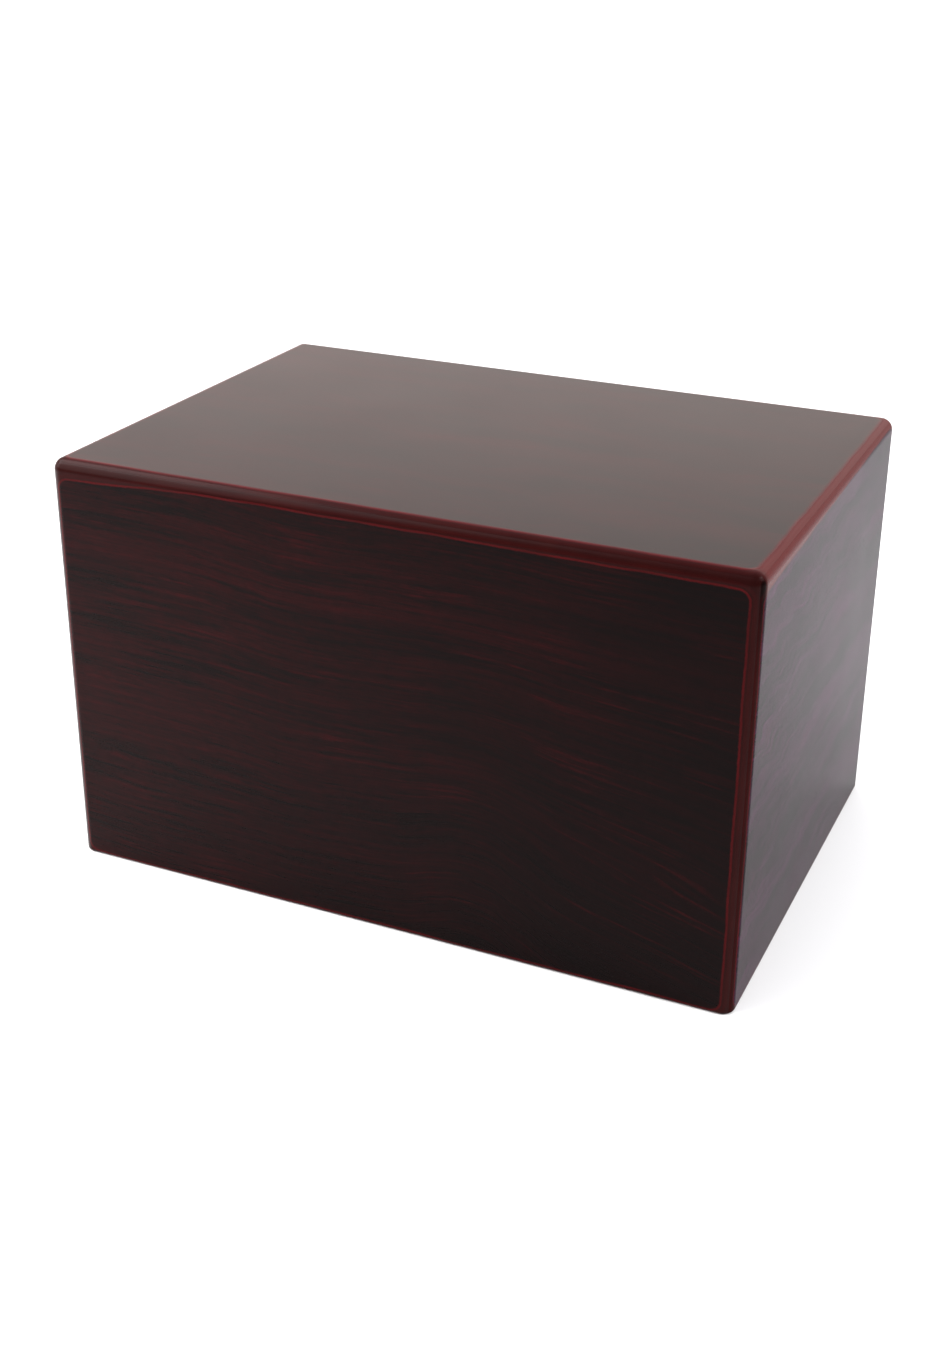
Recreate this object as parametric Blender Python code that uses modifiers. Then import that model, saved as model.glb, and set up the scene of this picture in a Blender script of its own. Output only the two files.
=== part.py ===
"""Cremation urn box: a hollow box of mitred boards, closed from below by a screwed base panel.

Metres, +Z up. The origin is the centre of the underside. The length runs along X, and the front
faces -Y. Run it with blender --background --python part.py, or from the text editor.
"""

import math

import bmesh
import bpy
from mathutils import Vector

# The box outside
LENGTH = 0.2286
DEPTH = 0.15875
HEIGHT = 0.1397
EDGE_RADIUS = 0.004  # round-over of the upright and top edges
EDGE_STEPS = 7  # odd, so that a mitre never runs along a line of the round-over
FOOT_RADIUS = 0.001  # easing of the edges that the box stands on
FOOT_STEPS = 3

# The boards
BOARD = 0.012  # thickness of the walls and the top
LIP = 0.004  # what the rebate for the base panel leaves of a wall's thickness
BASE_THICKNESS = 0.009
BASE_ARRIS = 0.0005  # chamfer along the base panel's lower edges
GAP = 0.0003  # clearance between pieces that touch

# The base screws, which are countersunk wood screws
SCREW_LENGTH = 0.016
SHANK_RADIUS = 0.0015
HEAD_RADIUS = 0.003
HEAD_RIM = 0.0004  # the upright edge of the head, below its cone
TIP_LENGTH = 0.003
SCREW_SINK = 0.0003  # how far the head's face lies above the underside
SCREW_END_INSET = 0.024  # from the base panel's end to a screw's axis
TURNED_STEPS = 24
DRIVE_SPAN = 0.0034  # across the arms of the drive recess, at the head's face
DRIVE_FLOOR_SPAN = 0.0018  # the same at the bottom of the recess
DRIVE_WIDTH = 0.0009
DRIVE_DEPTH = 0.0014

# Cutting tools reach past the surface that they cut by this
OVERCUT = 0.002

# Two points closer than this are one point
TOUCH = 0.0000003

# Faces that meet at less than this are shaded as one round surface
SMOOTH_ANGLE = math.radians(35)

VENEER_COLOUR = (0.032, 0.015, 0.014, 1.0)
VENEER_ROUGHNESS = 0.32
BASE_COLOUR = (0.035, 0.013, 0.011, 1.0)
BASE_ROUGHNESS = 0.7
SCREW_COLOUR = (0.62, 0.46, 0.22, 1.0)
SCREW_ROUGHNESS = 0.35

FRONT = Vector((0, -1, 0))
BACK = Vector((0, 1, 0))
LEFT = Vector((-1, 0, 0))
RIGHT = Vector((1, 0, 0))
UP = Vector((0, 0, 1))
CENTRE = Vector((0, 0, HEIGHT / 2))
HALF_SIZE = Vector((LENGTH, DEPTH, HEIGHT)) / 2


def new_collection(name):
    """A new collection in the scene."""
    collection = bpy.data.collections.new(name)
    bpy.context.scene.collection.children.link(collection)
    return collection


def finish(name, colour, roughness, metallic=0.0):
    """A plain material with the sub-part's colour, roughness and metallic value."""
    material = bpy.data.materials.new(name)
    material.use_nodes = True
    shader = material.node_tree.nodes["Principled BSDF"]
    shader.inputs["Base Color"].default_value = colour
    shader.inputs["Roughness"].default_value = roughness
    shader.inputs["Metallic"].default_value = metallic
    return material


def add_part(name, mesh, material, parent, location=(0, 0, 0)):
    """A sub-part: an object with its own material, under the box's empty."""
    mesh.materials.append(material)
    part = bpy.data.objects.new(name, mesh)
    PARTS.objects.link(part)
    part.parent = parent
    part.location = location
    return part


def add_cutter(name, mesh, parent=None, location=(0, 0, 0)):
    """A cutting tool, which is neither rendered nor part of the box."""
    cutter = bpy.data.objects.new(name, mesh)
    CUTTERS.objects.link(cutter)
    cutter.parent = parent
    cutter.location = location
    cutter.hide_render = True
    cutter.display_type = "WIRE"
    return cutter


def cut(part, cutter):
    """Takes a cutter's shape out of a part."""
    modifier = part.modifiers.new("Cut " + cutter.name, "BOOLEAN")
    modifier.operation = "DIFFERENCE"
    modifier.object = cutter


def even_shading(part):
    """Keeps the large flat faces flat in the shading, after all cuts."""
    modifier = part.modifiers.new("Even shading", "WEIGHTED_NORMAL")
    modifier.keep_sharp = True


def shade(mesh):
    """Shades the round-overs and turned faces smooth, and leaves the corners sharp."""
    mesh.shade_smooth()
    mesh.set_sharp_from_angle(angle=SMOOTH_ANGLE)


def to_mesh(bm, name):
    """The finished mesh of a bmesh."""
    bmesh.ops.recalc_face_normals(bm, faces=bm.faces)
    mesh = bpy.data.meshes.new(name)
    bm.to_mesh(mesh)
    bm.free()
    shade(mesh)
    return mesh


def block(size, bottom):
    """A bmesh of a block of that size, centred on the origin's upright, from a height up."""
    bm = bmesh.new()
    bmesh.ops.create_cube(bm, size=1)
    bmesh.ops.scale(bm, vec=size, verts=bm.verts)
    bmesh.ops.translate(bm, vec=(0, 0, bottom + size[2] / 2), verts=bm.verts)
    return bm


def round_edges(bm, edges, radius, steps):
    """Rounds some edges of a bmesh."""
    bmesh.ops.bevel(
        bm, geom=edges, offset=radius, offset_type="OFFSET", segments=steps, profile=0.5, affect="EDGES"
    )


def at_height(edge, height):
    """Whether an edge lies level at a height."""
    return all(abs(vertex.co.z - height) < TOUCH for vertex in edge.verts)


def outside_form():
    """The solid outer form of the box, with its round-overs and eased foot."""
    bm = block((LENGTH, DEPTH, HEIGHT), 0)
    rounded = [edge for edge in bm.edges if not at_height(edge, 0)]
    round_edges(bm, rounded, EDGE_RADIUS, EDGE_STEPS)
    foot = [edge for edge in bm.edges if at_height(edge, 0)]
    round_edges(bm, foot, FOOT_RADIUS, FOOT_STEPS)
    return bm


def trim(bm, point, outward):
    """Cuts a solid bmesh flat at a plane, and keeps what lies behind it."""
    geometry = [*bm.verts, *bm.edges, *bm.faces]
    result = bmesh.ops.bisect_plane(
        bm, geom=geometry, dist=TOUCH, plane_co=point, plane_no=outward, clear_outer=True
    )
    rim = [item for item in result["geom_cut"] if isinstance(item, bmesh.types.BMEdge)]
    bmesh.ops.edgeloop_fill(bm, edges=rim)


def board_mesh(name, facing, neighbours):
    """One board of the box: the outer form, cut to the board's thickness and mitred to its neighbours."""
    bm = outside_form()
    to_face = abs(facing.dot(HALF_SIZE))
    trim(bm, CENTRE + facing * (to_face - BOARD), -facing)
    for neighbour in neighbours:
        edge = CENTRE + facing * to_face + neighbour * abs(neighbour.dot(HALF_SIZE))
        outward = (neighbour - facing).normalized()
        trim(bm, edge - outward * (GAP / 2), outward)
    return to_mesh(bm, name)


def base_mesh():
    """The base panel, which fits the rebate, with a small chamfer around its lower face."""
    across = 2 * (LIP + GAP)
    bm = block((LENGTH - across, DEPTH - across, BASE_THICKNESS), 0)
    lower = [edge for edge in bm.edges if at_height(edge, 0)]
    round_edges(bm, lower, BASE_ARRIS, 1)
    return to_mesh(bm, "base_panel")


def rebate_mesh():
    """The space that the walls leave for the base panel."""
    size = (LENGTH - 2 * LIP, DEPTH - 2 * LIP, BASE_THICKNESS + GAP + OVERCUT)
    return to_mesh(block(size, -OVERCUT), "rebate_space")


def turned_mesh(name, points):
    """A closed solid: a profile of (radius, height) points, turned about Z with a Screw modifier."""
    bm = bmesh.new()
    corners = [bm.verts.new((radius, 0, height)) for radius, height in points]
    for upper, lower in zip(corners, corners[1:]):
        bm.edges.new((upper, lower))
    outline = bpy.data.meshes.new(name + "_profile")
    bm.to_mesh(outline)
    bm.free()

    profile = add_cutter(name + "_profile", outline)
    modifier = profile.modifiers.new("Turn", "SCREW")
    modifier.axis = "Z"
    modifier.steps = TURNED_STEPS
    modifier.render_steps = TURNED_STEPS
    modifier.use_merge_vertices = True
    modifier.merge_threshold = TOUCH
    turned = profile.evaluated_get(bpy.context.evaluated_depsgraph_get())
    mesh = bpy.data.meshes.new_from_object(turned)
    bpy.data.objects.remove(profile)
    mesh.name = name
    shade(mesh)
    return mesh


def screw_profile(clearance, face):
    """A base screw's outline from its tip down to its face, grown by a clearance on every side."""
    shank = SHANK_RADIUS + clearance
    head = HEAD_RADIUS + clearance
    cone_start = HEAD_RIM + clearance * (math.sqrt(2) - 1)
    cone_end = cone_start + HEAD_RADIUS - SHANK_RADIUS
    return [
        (0, SCREW_LENGTH + clearance),
        (shank, SCREW_LENGTH - TIP_LENGTH + clearance),
        (shank, cone_end),
        (head, cone_start),
        (head, face),
        (0, face),
    ]


def drive_mesh(name, along_x):
    """One arm of the drive recess: a thin bar that narrows towards the recess's floor."""
    bm = block((1, 1, DRIVE_DEPTH + OVERCUT), -OVERCUT)
    growth = (DRIVE_SPAN - DRIVE_FLOOR_SPAN) / DRIVE_DEPTH
    for vertex in bm.verts:
        span = DRIVE_SPAN - growth * vertex.co.z
        vertex.co.x *= span if along_x else DRIVE_WIDTH
        vertex.co.y *= DRIVE_WIDTH if along_x else span
    return to_mesh(bm, name)


def screw_places():
    """The name and the place of each base screw, at the middle of the shoulder over the base panel."""
    x = LENGTH / 2 - LIP - GAP - SCREW_END_INSET
    y = DEPTH / 2 - (LIP + BOARD) / 2
    for side, y_sign in (("front", -1), ("back", 1)):
        for end, x_sign in (("left", -1), ("right", 1)):
            yield f"base_screw_{side}_{end}", (x_sign * x, y_sign * y, SCREW_SINK)


def add_boards(parent):
    """The five glued boards."""
    sides = (FRONT, BACK, LEFT, RIGHT)
    boards = {"top_panel": (UP, sides)}
    for name, facing in zip(("front_panel", "back_panel", "left_panel", "right_panel"), sides):
        beside = [other for other in sides if other.dot(facing) == 0]
        boards[name] = (facing, (*beside, UP))
    return {
        name: add_part(
            name,
            board_mesh(name, facing, neighbours),
            finish(name, VENEER_COLOUR, VENEER_ROUGHNESS),
            parent,
        )
        for name, (facing, neighbours) in boards.items()
    }


def add_base(boards, parent):
    """The base panel, and the rebate that it sits in."""
    lacquer = finish("base_panel", BASE_COLOUR, BASE_ROUGHNESS)
    base = add_part("base_panel", base_mesh(), lacquer, parent)
    rebate = add_cutter("rebate_space", rebate_mesh())
    for name, board in boards.items():
        if name != "top_panel":
            cut(board, rebate)
    return base


def add_screws(boards, base, parent):
    """The base screws, with their holes through the base panel and into the long walls."""
    for name, place in screw_places():
        metal = finish(name, SCREW_COLOUR, SCREW_ROUGHNESS, metallic=1.0)
        screw = add_part(name, turned_mesh(name, screw_profile(0, 0)), metal, parent, place)
        for arm, along_x in (("long", True), ("cross", False)):
            arm_name = f"{name}_drive_{arm}"
            cut(screw, add_cutter(arm_name, drive_mesh(arm_name, along_x), screw))

        space = turned_mesh(f"{name}_hole", screw_profile(GAP, -OVERCUT))
        hole = add_cutter(f"{name}_hole", space, parent, place)
        wall = boards["front_panel"] if place[1] < 0 else boards["back_panel"]
        cut(base, hole)
        cut(wall, hole)


for leftover in list(bpy.data.objects):
    bpy.data.objects.remove(leftover)
PARTS = new_collection("cremation_urn_box")
CUTTERS = new_collection("cutters")

urn = bpy.data.objects.new("urn_box", None)
PARTS.objects.link(urn)
box_boards = add_boards(urn)
box_base = add_base(box_boards, urn)
add_screws(box_boards, box_base, urn)
for panel in (*box_boards.values(), box_base):
    even_shading(panel)
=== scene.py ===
"""Cremation urn box: the looks of the veneered boards, the base panel and the screws, and a plain stage.

Metres, +Z up. The origin is the centre of the underside. The length runs along X, and the front
faces -Y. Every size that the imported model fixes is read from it.
"""

import math

import bmesh
import bpy
from bpy.props import FloatProperty, FloatVectorProperty, IntProperty, PointerProperty
from mathutils import Euler, Matrix, Vector


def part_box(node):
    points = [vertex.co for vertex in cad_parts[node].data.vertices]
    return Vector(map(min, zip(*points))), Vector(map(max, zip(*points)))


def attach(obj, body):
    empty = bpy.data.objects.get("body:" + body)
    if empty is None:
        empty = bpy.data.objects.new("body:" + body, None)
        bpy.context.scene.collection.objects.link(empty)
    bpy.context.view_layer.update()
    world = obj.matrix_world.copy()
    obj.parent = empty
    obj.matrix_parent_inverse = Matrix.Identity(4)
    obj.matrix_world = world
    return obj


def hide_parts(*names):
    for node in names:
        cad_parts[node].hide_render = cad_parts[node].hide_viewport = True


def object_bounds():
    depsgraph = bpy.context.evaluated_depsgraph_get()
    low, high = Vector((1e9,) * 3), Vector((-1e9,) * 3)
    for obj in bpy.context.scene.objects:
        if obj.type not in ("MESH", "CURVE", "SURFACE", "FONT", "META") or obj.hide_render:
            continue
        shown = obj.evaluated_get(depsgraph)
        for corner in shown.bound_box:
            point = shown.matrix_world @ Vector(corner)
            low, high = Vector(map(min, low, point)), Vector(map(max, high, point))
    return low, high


bl_info = {
    "name": "Cremation urn box",
    "version": (1, 0, 0),
    "blender": (4, 5, 0),
    "location": "View3D > Sidebar > Urn box",
    "description": "Makes a veneered urn box with stained edges, its base panel, its screws and a stage",
    "category": "Object",
}

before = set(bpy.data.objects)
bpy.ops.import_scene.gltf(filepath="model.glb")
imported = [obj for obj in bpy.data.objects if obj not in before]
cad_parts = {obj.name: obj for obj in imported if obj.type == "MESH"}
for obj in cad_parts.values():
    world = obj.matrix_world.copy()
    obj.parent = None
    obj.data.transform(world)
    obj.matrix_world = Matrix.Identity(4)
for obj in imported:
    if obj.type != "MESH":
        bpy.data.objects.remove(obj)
CAD_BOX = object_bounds()

SIZE = CAD_BOX[1] - CAD_BOX[0]
HALF_SIZE = SIZE / 2
CENTRE = (CAD_BOX[0] + CAD_BOX[1]) / 2

FRONT = Vector((0, -1, 0))
BACK = Vector((0, 1, 0))
LEFT = Vector((-1, 0, 0))
RIGHT = Vector((1, 0, 0))
UP = Vector((0, 0, 1))

# Faces that meet at less than this are shaded as one round surface
SMOOTH_ANGLE = math.radians(35)
# Two points closer than this are one point
TOUCH = 0.0000003


def node_size(node):
    """The length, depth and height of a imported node."""
    low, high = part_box(node)
    return high - low


BOARD_THICKNESS = node_size("front_panel").y
BASE_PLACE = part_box("base_panel")[0]
BASE_SIZE = node_size("base_panel")
SCREW_SIZE = node_size("base_screw_front_left")


# Properties


def a_length(name, description, default):
    """A length that a user can change."""
    return FloatProperty(
        name=name, description=description, default=default, min=0, precision=5, subtype="DISTANCE",
        unit="LENGTH",
    )


def a_count(name, description, default):
    """A number of steps that a user can change."""
    return IntProperty(name=name, description=description, default=default, min=1)


def a_share(name, description, default):
    """A share from 0 to 1 that a user can change."""
    return FloatProperty(
        name=name, description=description, default=default, min=0, max=1, subtype="FACTOR"
    )


def a_strength(name, description, default):
    """A strength of light that a user can change."""
    return FloatProperty(name=name, description=description, default=default, min=0)


def a_power(name, description, default):
    """The power of a lamp that a user can change."""
    return FloatProperty(name=name, description=description, default=default, min=0, unit="POWER")


def a_colour(name, description, default):
    """A colour that a user can change."""
    return FloatVectorProperty(
        name=name, description=description, default=default, size=3, min=0, max=1, subtype="COLOR"
    )


class UrnBoardSizes(bpy.types.PropertyGroup):
    """Sizes of the boards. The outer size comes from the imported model."""

    thickness: a_length("Thickness", "Thickness of the walls and the top", BOARD_THICKNESS)
    edge_radius: a_length("Edge radius", "Round-over of the upright and top edges", 0.004)
    edge_steps: a_count("Edge steps", "Steps of the round-over, odd", 15)
    foot_radius: a_length("Foot radius", "Easing of the edges that the box stands on", 0.001)
    foot_steps: a_count("Foot steps", "Steps of the eased foot", 5)
    joint: a_length("Joint", "Width of the glue line in a mitre", 0.00002)
    lip: a_length("Lip", "What the rebate leaves of a wall's thickness", 0.004)
    base_arris: a_length("Base arris", "Rounding along the base panel's lower edges", 0.0005)
    base_arris_steps: a_count("Base arris steps", "Steps of the base panel's rounding", 4)


class UrnScrewSizes(bpy.types.PropertyGroup):
    """Sizes of the base screws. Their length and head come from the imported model."""

    thread_radius: a_length("Thread radius", "Outer radius of the thread", 0.0015)
    core_radius: a_length("Core radius", "Radius at the bottom of the thread", 0.0011)
    pitch: a_length("Pitch", "Rise of the thread in one turn", 0.0013)
    rim: a_length("Rim", "Upright edge of the head, below its cone", 0.0004)
    tip: a_length("Tip", "Length of the pointed end", 0.003)
    drive_span: a_length("Drive span", "Across the arms of the cross recess, at the face", 0.0034)
    drive_floor: a_length("Drive floor", "Across the arms at the bottom of the recess", 0.0018)
    drive_width: a_length("Drive width", "Width of an arm of the recess", 0.0009)
    drive_depth: a_length("Drive depth", "Depth of the recess", 0.0014)
    clearance: a_length("Clearance", "Gap between a screw and its hole", 0.0003)


class UrnFinish(bpy.types.PropertyGroup):
    """Colours and gloss of the boards, base panel and screws."""

    dark_grain: a_colour("Dark grain", "Stained veneer between the red streaks", (0.0038, 0.0016, 0.0016))
    red_grain: a_colour("Red grain", "Stained veneer in the red streaks", (0.0215, 0.0019, 0.0024))
    hair_grain: a_colour("Hair grain", "Thin bright lines in the veneer", (0.046, 0.0022, 0.0036))
    # Painted sheen as well as grain: the right board's streaks are brighter and violet, standing for the
    # violet sheen of that face
    violet_grain: a_colour("Violet grain", "Streaks of the right board", (0.048, 0.0085, 0.034))
    # Also the colour of the painted shade towards the lower right, and of the painted dark reflection on
    # the front right upright edge
    pore_and_painted_dark: a_colour("Pore", "Bottom of the open pores", (0.0025, 0.0012, 0.0012))
    band: a_colour("Edge band", "Stained fibreboard of the round-over", (0.020, 0.0028, 0.0024))
    band_dark: a_colour("Dark edge band", "Darker patches of the round-over", (0.014, 0.0020, 0.0020))
    veneer_line: a_colour("Veneer line", "Line where the veneer is sanded through", (0.058, 0.0022, 0.0032))
    # Painted sheen: a lighter red on the upper right round-over, which faces the light
    band_painted_sheen: a_colour("Rubbed edge band", "Upper right round-over, rubbed", (0.082, 0.014, 0.014))
    fibreboard: a_colour("Fibreboard", "Raw fibreboard inside the box", (0.30, 0.19, 0.11))
    base_stain: a_colour("Base stain", "Stained lower face of the base panel", (0.035, 0.013, 0.011))
    bright_brass: a_colour("Bright brass", "Brass of the screws", (0.62, 0.46, 0.22))
    dull_brass: a_colour("Dull brass", "Duller patches of the screws", (0.5332, 0.3588, 0.1452))
    lacquer_roughness: a_share("Lacquer roughness", "How matt the satin lacquer is", 0.24)
    raw_roughness: a_share("Raw roughness", "How matt raw fibreboard is", 0.85)
    lacquer_index: FloatProperty(
        name="Lacquer index", description="Index of refraction of the lacquer", default=1.22, min=1, max=2
    )
    lacquer_tint: a_colour("Lacquer tint", "Tint of the lacquer's head-on reflections", (0.36, 0.32, 0.32))


class UrnStage(bpy.types.PropertyGroup):
    """The floor, the light and the camera."""

    floor_radius: a_length("Floor radius", "Radius of the round floor", 4.0)
    floor_colour: a_colour("Floor colour", "Pale paper of the floor", (0.86, 0.86, 0.86))
    dim_side: a_strength("Dim side", "Brightness of the room behind the camera", 0.55)
    bright_side: a_strength("Bright side", "Brightness of the room behind the box", 1.63)
    overhead: a_strength("Overhead", "Added brightness of the ceiling", 0.5)
    low_light: a_colour("Low light", "Colour of the light near the horizon", (1.0, 0.88, 0.84))
    high_light: a_colour("High light", "Colour of the light from above", (0.93, 0.96, 1.0))
    right_softbox: a_power("Right softbox", "Power of the softbox at the right", 10.0)
    front_softbox: a_power("Front softbox", "Power of the softbox at the front left", 4.4)
    left_softbox: a_power("Left softbox", "Power of the softbox at the left end", 2.4)
    camera_place: FloatVectorProperty(
        name="Camera place", description="Where the camera stands", default=(0.22418, -0.51205, 0.31697),
        subtype="TRANSLATION", unit="LENGTH",
    )
    camera_turn: FloatVectorProperty(
        name="Camera turn", description="How the camera is turned",
        default=(math.radians(66.323), math.radians(-0.424), math.radians(24.281)), subtype="EULER",
    )
    camera_lens: FloatProperty(name="Lens", description="Focal length", default=47.98, unit="CAMERA")
    camera_shift: FloatVectorProperty(
        name="Shift", description="Shift of the picture", default=(0.0008, -0.03598), size=2
    )


# Meshes


def block(size, bottom):
    """A bmesh of a block of that size, which stands on a height and is centred on the origin."""
    bm = bmesh.new()
    bmesh.ops.create_cube(bm, size=1)
    bmesh.ops.scale(bm, vec=size, verts=bm.verts)
    bmesh.ops.translate(bm, vec=(0, 0, bottom + size[2] / 2), verts=bm.verts)
    return bm


def round_edges(bm, edges, radius, steps):
    """Rounds some edges of a bmesh."""
    bmesh.ops.bevel(
        bm, geom=edges, offset=radius, offset_type="OFFSET", segments=steps, profile=0.5, affect="EDGES"
    )


def at_height(edge, height):
    """Whether an edge lies level at a height."""
    return all(abs(vertex.co.z - height) < TOUCH for vertex in edge.verts)


def to_mesh(bm, name):
    """The finished mesh of a bmesh."""
    bmesh.ops.recalc_face_normals(bm, faces=bm.faces)
    mesh = bpy.data.meshes.new(name)
    bm.to_mesh(mesh)
    bm.free()
    return mesh


def add_object(name, mesh):
    """A new object in the scene."""
    made = bpy.data.objects.new(name, mesh)
    bpy.context.scene.collection.objects.link(made)
    return made


def carve(name, mesh, cutters):
    """A mesh with the shapes of some cutting meshes taken out."""
    body = add_object(name + "_uncut", mesh)
    tools = [add_object(name + "_cutter", cutter) for cutter in cutters]
    for tool in tools:
        modifier = body.modifiers.new(tool.name, "BOOLEAN")
        modifier.operation = "DIFFERENCE"
        modifier.solver = "EXACT"
        modifier.object = tool
    evaluated = body.evaluated_get(bpy.context.evaluated_depsgraph_get())
    carved = bpy.data.meshes.new_from_object(evaluated)
    carved.name = name
    for leftover in (body, *tools):
        bpy.data.objects.remove(leftover)
    return carved


def add_piece(name, mesh, material, node):
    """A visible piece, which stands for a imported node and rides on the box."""
    mesh.materials.clear()
    mesh.materials.append(material)
    mesh.shade_smooth()
    mesh.set_sharp_from_angle(angle=SMOOTH_ANGLE)
    piece = add_object(name, mesh)
    shading = piece.modifiers.new("Even shading", "WEIGHTED_NORMAL")
    shading.keep_sharp = True
    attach(piece, "root")
    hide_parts(node)


def outer_form(sizes):
    """The solid outer form of the box, with its round-overs and eased foot."""
    bm = block(SIZE, CAD_BOX[0].z)
    rounded = [edge for edge in bm.edges if not at_height(edge, CAD_BOX[0].z)]
    round_edges(bm, rounded, sizes.edge_radius, sizes.edge_steps)
    foot = [edge for edge in bm.edges if at_height(edge, CAD_BOX[0].z)]
    round_edges(bm, foot, sizes.foot_radius, sizes.foot_steps)
    return bm


def trim(bm, point, outward):
    """Cuts a solid bmesh flat at a plane, and keeps what lies behind it."""
    geometry = [*bm.verts, *bm.edges, *bm.faces]
    result = bmesh.ops.bisect_plane(
        bm, geom=geometry, dist=TOUCH, plane_co=point, plane_no=outward, clear_outer=True
    )
    rim = [item for item in result["geom_cut"] if isinstance(item, bmesh.types.BMEdge)]
    bmesh.ops.edgeloop_fill(bm, edges=rim)


def board_mesh(name, facing, neighbours, sizes):
    """One board: the outer form, cut to the board's thickness and mitred to its neighbours."""
    bm = outer_form(sizes)
    to_face = abs(facing.dot(HALF_SIZE))
    trim(bm, CENTRE + facing * (to_face - sizes.thickness), -facing)
    for neighbour in neighbours:
        edge = CENTRE + facing * to_face + neighbour * abs(neighbour.dot(HALF_SIZE))
        outward = (neighbour - facing).normalized()
        trim(bm, edge - outward * (sizes.joint / 2), outward)
    return to_mesh(bm, name)


def rebate_mesh(sizes, clearance):
    """The space that the walls leave for the base panel."""
    size = (SIZE.x - 2 * sizes.lip, SIZE.y - 2 * sizes.lip, BASE_SIZE.z + clearance + sizes.lip)
    return to_mesh(block(size, CAD_BOX[0].z - sizes.lip), "rebate")


def turned(name, rings, steps):
    """A closed solid of rings stacked upwards. A ring is a height and its radius at each angle."""
    bm = bmesh.new()
    loops = []
    for height, radius_at in rings:
        loop = []
        for step in range(steps):
            angle = 2 * math.pi * step / steps
            radius = radius_at(angle)
            loop.append(bm.verts.new((radius * math.cos(angle), radius * math.sin(angle), height)))
        loops.append(loop)
    for lower, upper in zip(loops, loops[1:]):
        for step in range(steps):
            after = (step + 1) % steps
            bm.faces.new((lower[step], lower[after], upper[after], upper[step]))
    bm.faces.new(loops[0])
    bm.faces.new(loops[-1])
    return to_mesh(bm, name)


def plain_ring(height, radius):
    """A round ring."""
    return height, lambda angle: radius


# Steps around a screw or its hole
TURNED_STEPS = 48
# Rings in one turn of the thread
THREAD_RINGS = 12
# Half of the thread's ridge, as a share of the pitch
RIDGE_HALF = 0.3
# What is left of the core's radius at the very tip, and of the thread's depth
TIP_CORE = 0.25
TIP_THREAD = 0.02
# Easing of the head's rim
RIM_ARRIS = 0.00008
# How far behind the head's cone the smooth shank ends, and where the thread starts
SHANK_END = 0.0012
THREAD_START = 0.0016


def thread_ring(height, base, sizes, fade):
    """A ring across the thread: a ridge that winds up the shank. Fade is 1 for the thread's full depth."""
    core = sizes.core_radius * (TIP_CORE + (1 - TIP_CORE) * fade)
    depth = (sizes.thread_radius - sizes.core_radius) * fade

    def radius_at(angle):
        turn = ((height - base) / sizes.pitch - angle / (2 * math.pi)) % 1
        return core + depth * max(0.0, 1 - abs(turn - 0.5) / RIDGE_HALF)

    return height, radius_at


def screw_mesh(name, sizes):
    """A countersunk wood screw, which points up from its face at height 0."""
    head = SCREW_SIZE.x / 2
    cone_end = sizes.rim + head - sizes.thread_radius
    length = SCREW_SIZE.z
    rings = [
        plain_ring(0, head - RIM_ARRIS),
        plain_ring(RIM_ARRIS, head),
        plain_ring(sizes.rim, head),
        plain_ring(cone_end, sizes.thread_radius),
        plain_ring(cone_end + SHANK_END, sizes.thread_radius),
    ]
    start = cone_end + THREAD_START
    count = int((length - start) * THREAD_RINGS / sizes.pitch)
    for step in range(count + 1):
        height = start + (length - start) * step / count
        fade = min(1.0, max(TIP_THREAD, (length - height) / sizes.tip))
        rings.append(thread_ring(height, start, sizes, fade))
    return turned(name, rings, TURNED_STEPS)


# How much an arm of the cross recess narrows towards its floor
ARM_TAPER = 0.25
# Where two arms meet, in halves of an arm's width: across the one arm and across the next
ARM_CORNER = (1.4175, 1.35)
# How deep the point in the middle of the floor lies, in depths of the recess
FLOOR_POINT = 1.25


def drive_mesh(name, sizes):
    """The cross recess of a screw: a four-armed form that narrows towards its floor."""
    bm = bmesh.new()
    growth = (sizes.drive_span - sizes.drive_floor) / sizes.drive_depth
    loops = []
    for height in (-sizes.rim, sizes.drive_depth):
        reach = (sizes.drive_span - growth * height) / 2
        half = sizes.drive_width / 2 * (1 - ARM_TAPER * max(0.0, height) / sizes.drive_depth)
        arm = [(reach, -half), (reach, half), (half * ARM_CORNER[0], half * ARM_CORNER[1])]
        points = []
        for quarter in range(4):
            turn = math.pi / 2 * quarter
            for x, y in arm:
                across = x * math.cos(turn) - y * math.sin(turn)
                up = x * math.sin(turn) + y * math.cos(turn)
                points.append(bm.verts.new((across, up, height)))
        loops.append(points)
    lower, upper = loops
    for step in range(len(lower)):
        after = (step + 1) % len(lower)
        bm.faces.new((lower[step], lower[after], upper[after], upper[step]))
    bm.faces.new(lower)
    middle = bm.verts.new((0, 0, sizes.drive_depth * FLOOR_POINT))
    for step in range(len(upper)):
        bm.faces.new((upper[step], upper[(step + 1) % len(upper)], middle))
    return to_mesh(bm, name)


# How far a hole's cutter reaches out of the board
OVERCUT = 0.002
# The radius that is left at a hole's end, in radii of the shank's hole
HOLE_POINT = 0.1


def screw_hole(name, place, sizes):
    """The space for a screw, with its clearance, where the screw goes."""
    gap = sizes.clearance
    head = SCREW_SIZE.x / 2 + gap
    shank = sizes.thread_radius + gap
    cone = sizes.rim + gap * (math.sqrt(2) - 1)
    rings = [
        plain_ring(-OVERCUT, head),
        plain_ring(cone, head),
        plain_ring(cone + head - shank, shank),
        plain_ring(SCREW_SIZE.z - sizes.tip + gap, shank),
        plain_ring(SCREW_SIZE.z + gap, shank * HOLE_POINT),
    ]
    mesh = turned(name, rings, TURNED_STEPS)
    mesh.transform(translation(place))
    return mesh


def translation(place):
    """The matrix that moves a mesh to a place."""
    matrix = Matrix.Identity(4)
    matrix.translation = place
    return matrix


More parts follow.
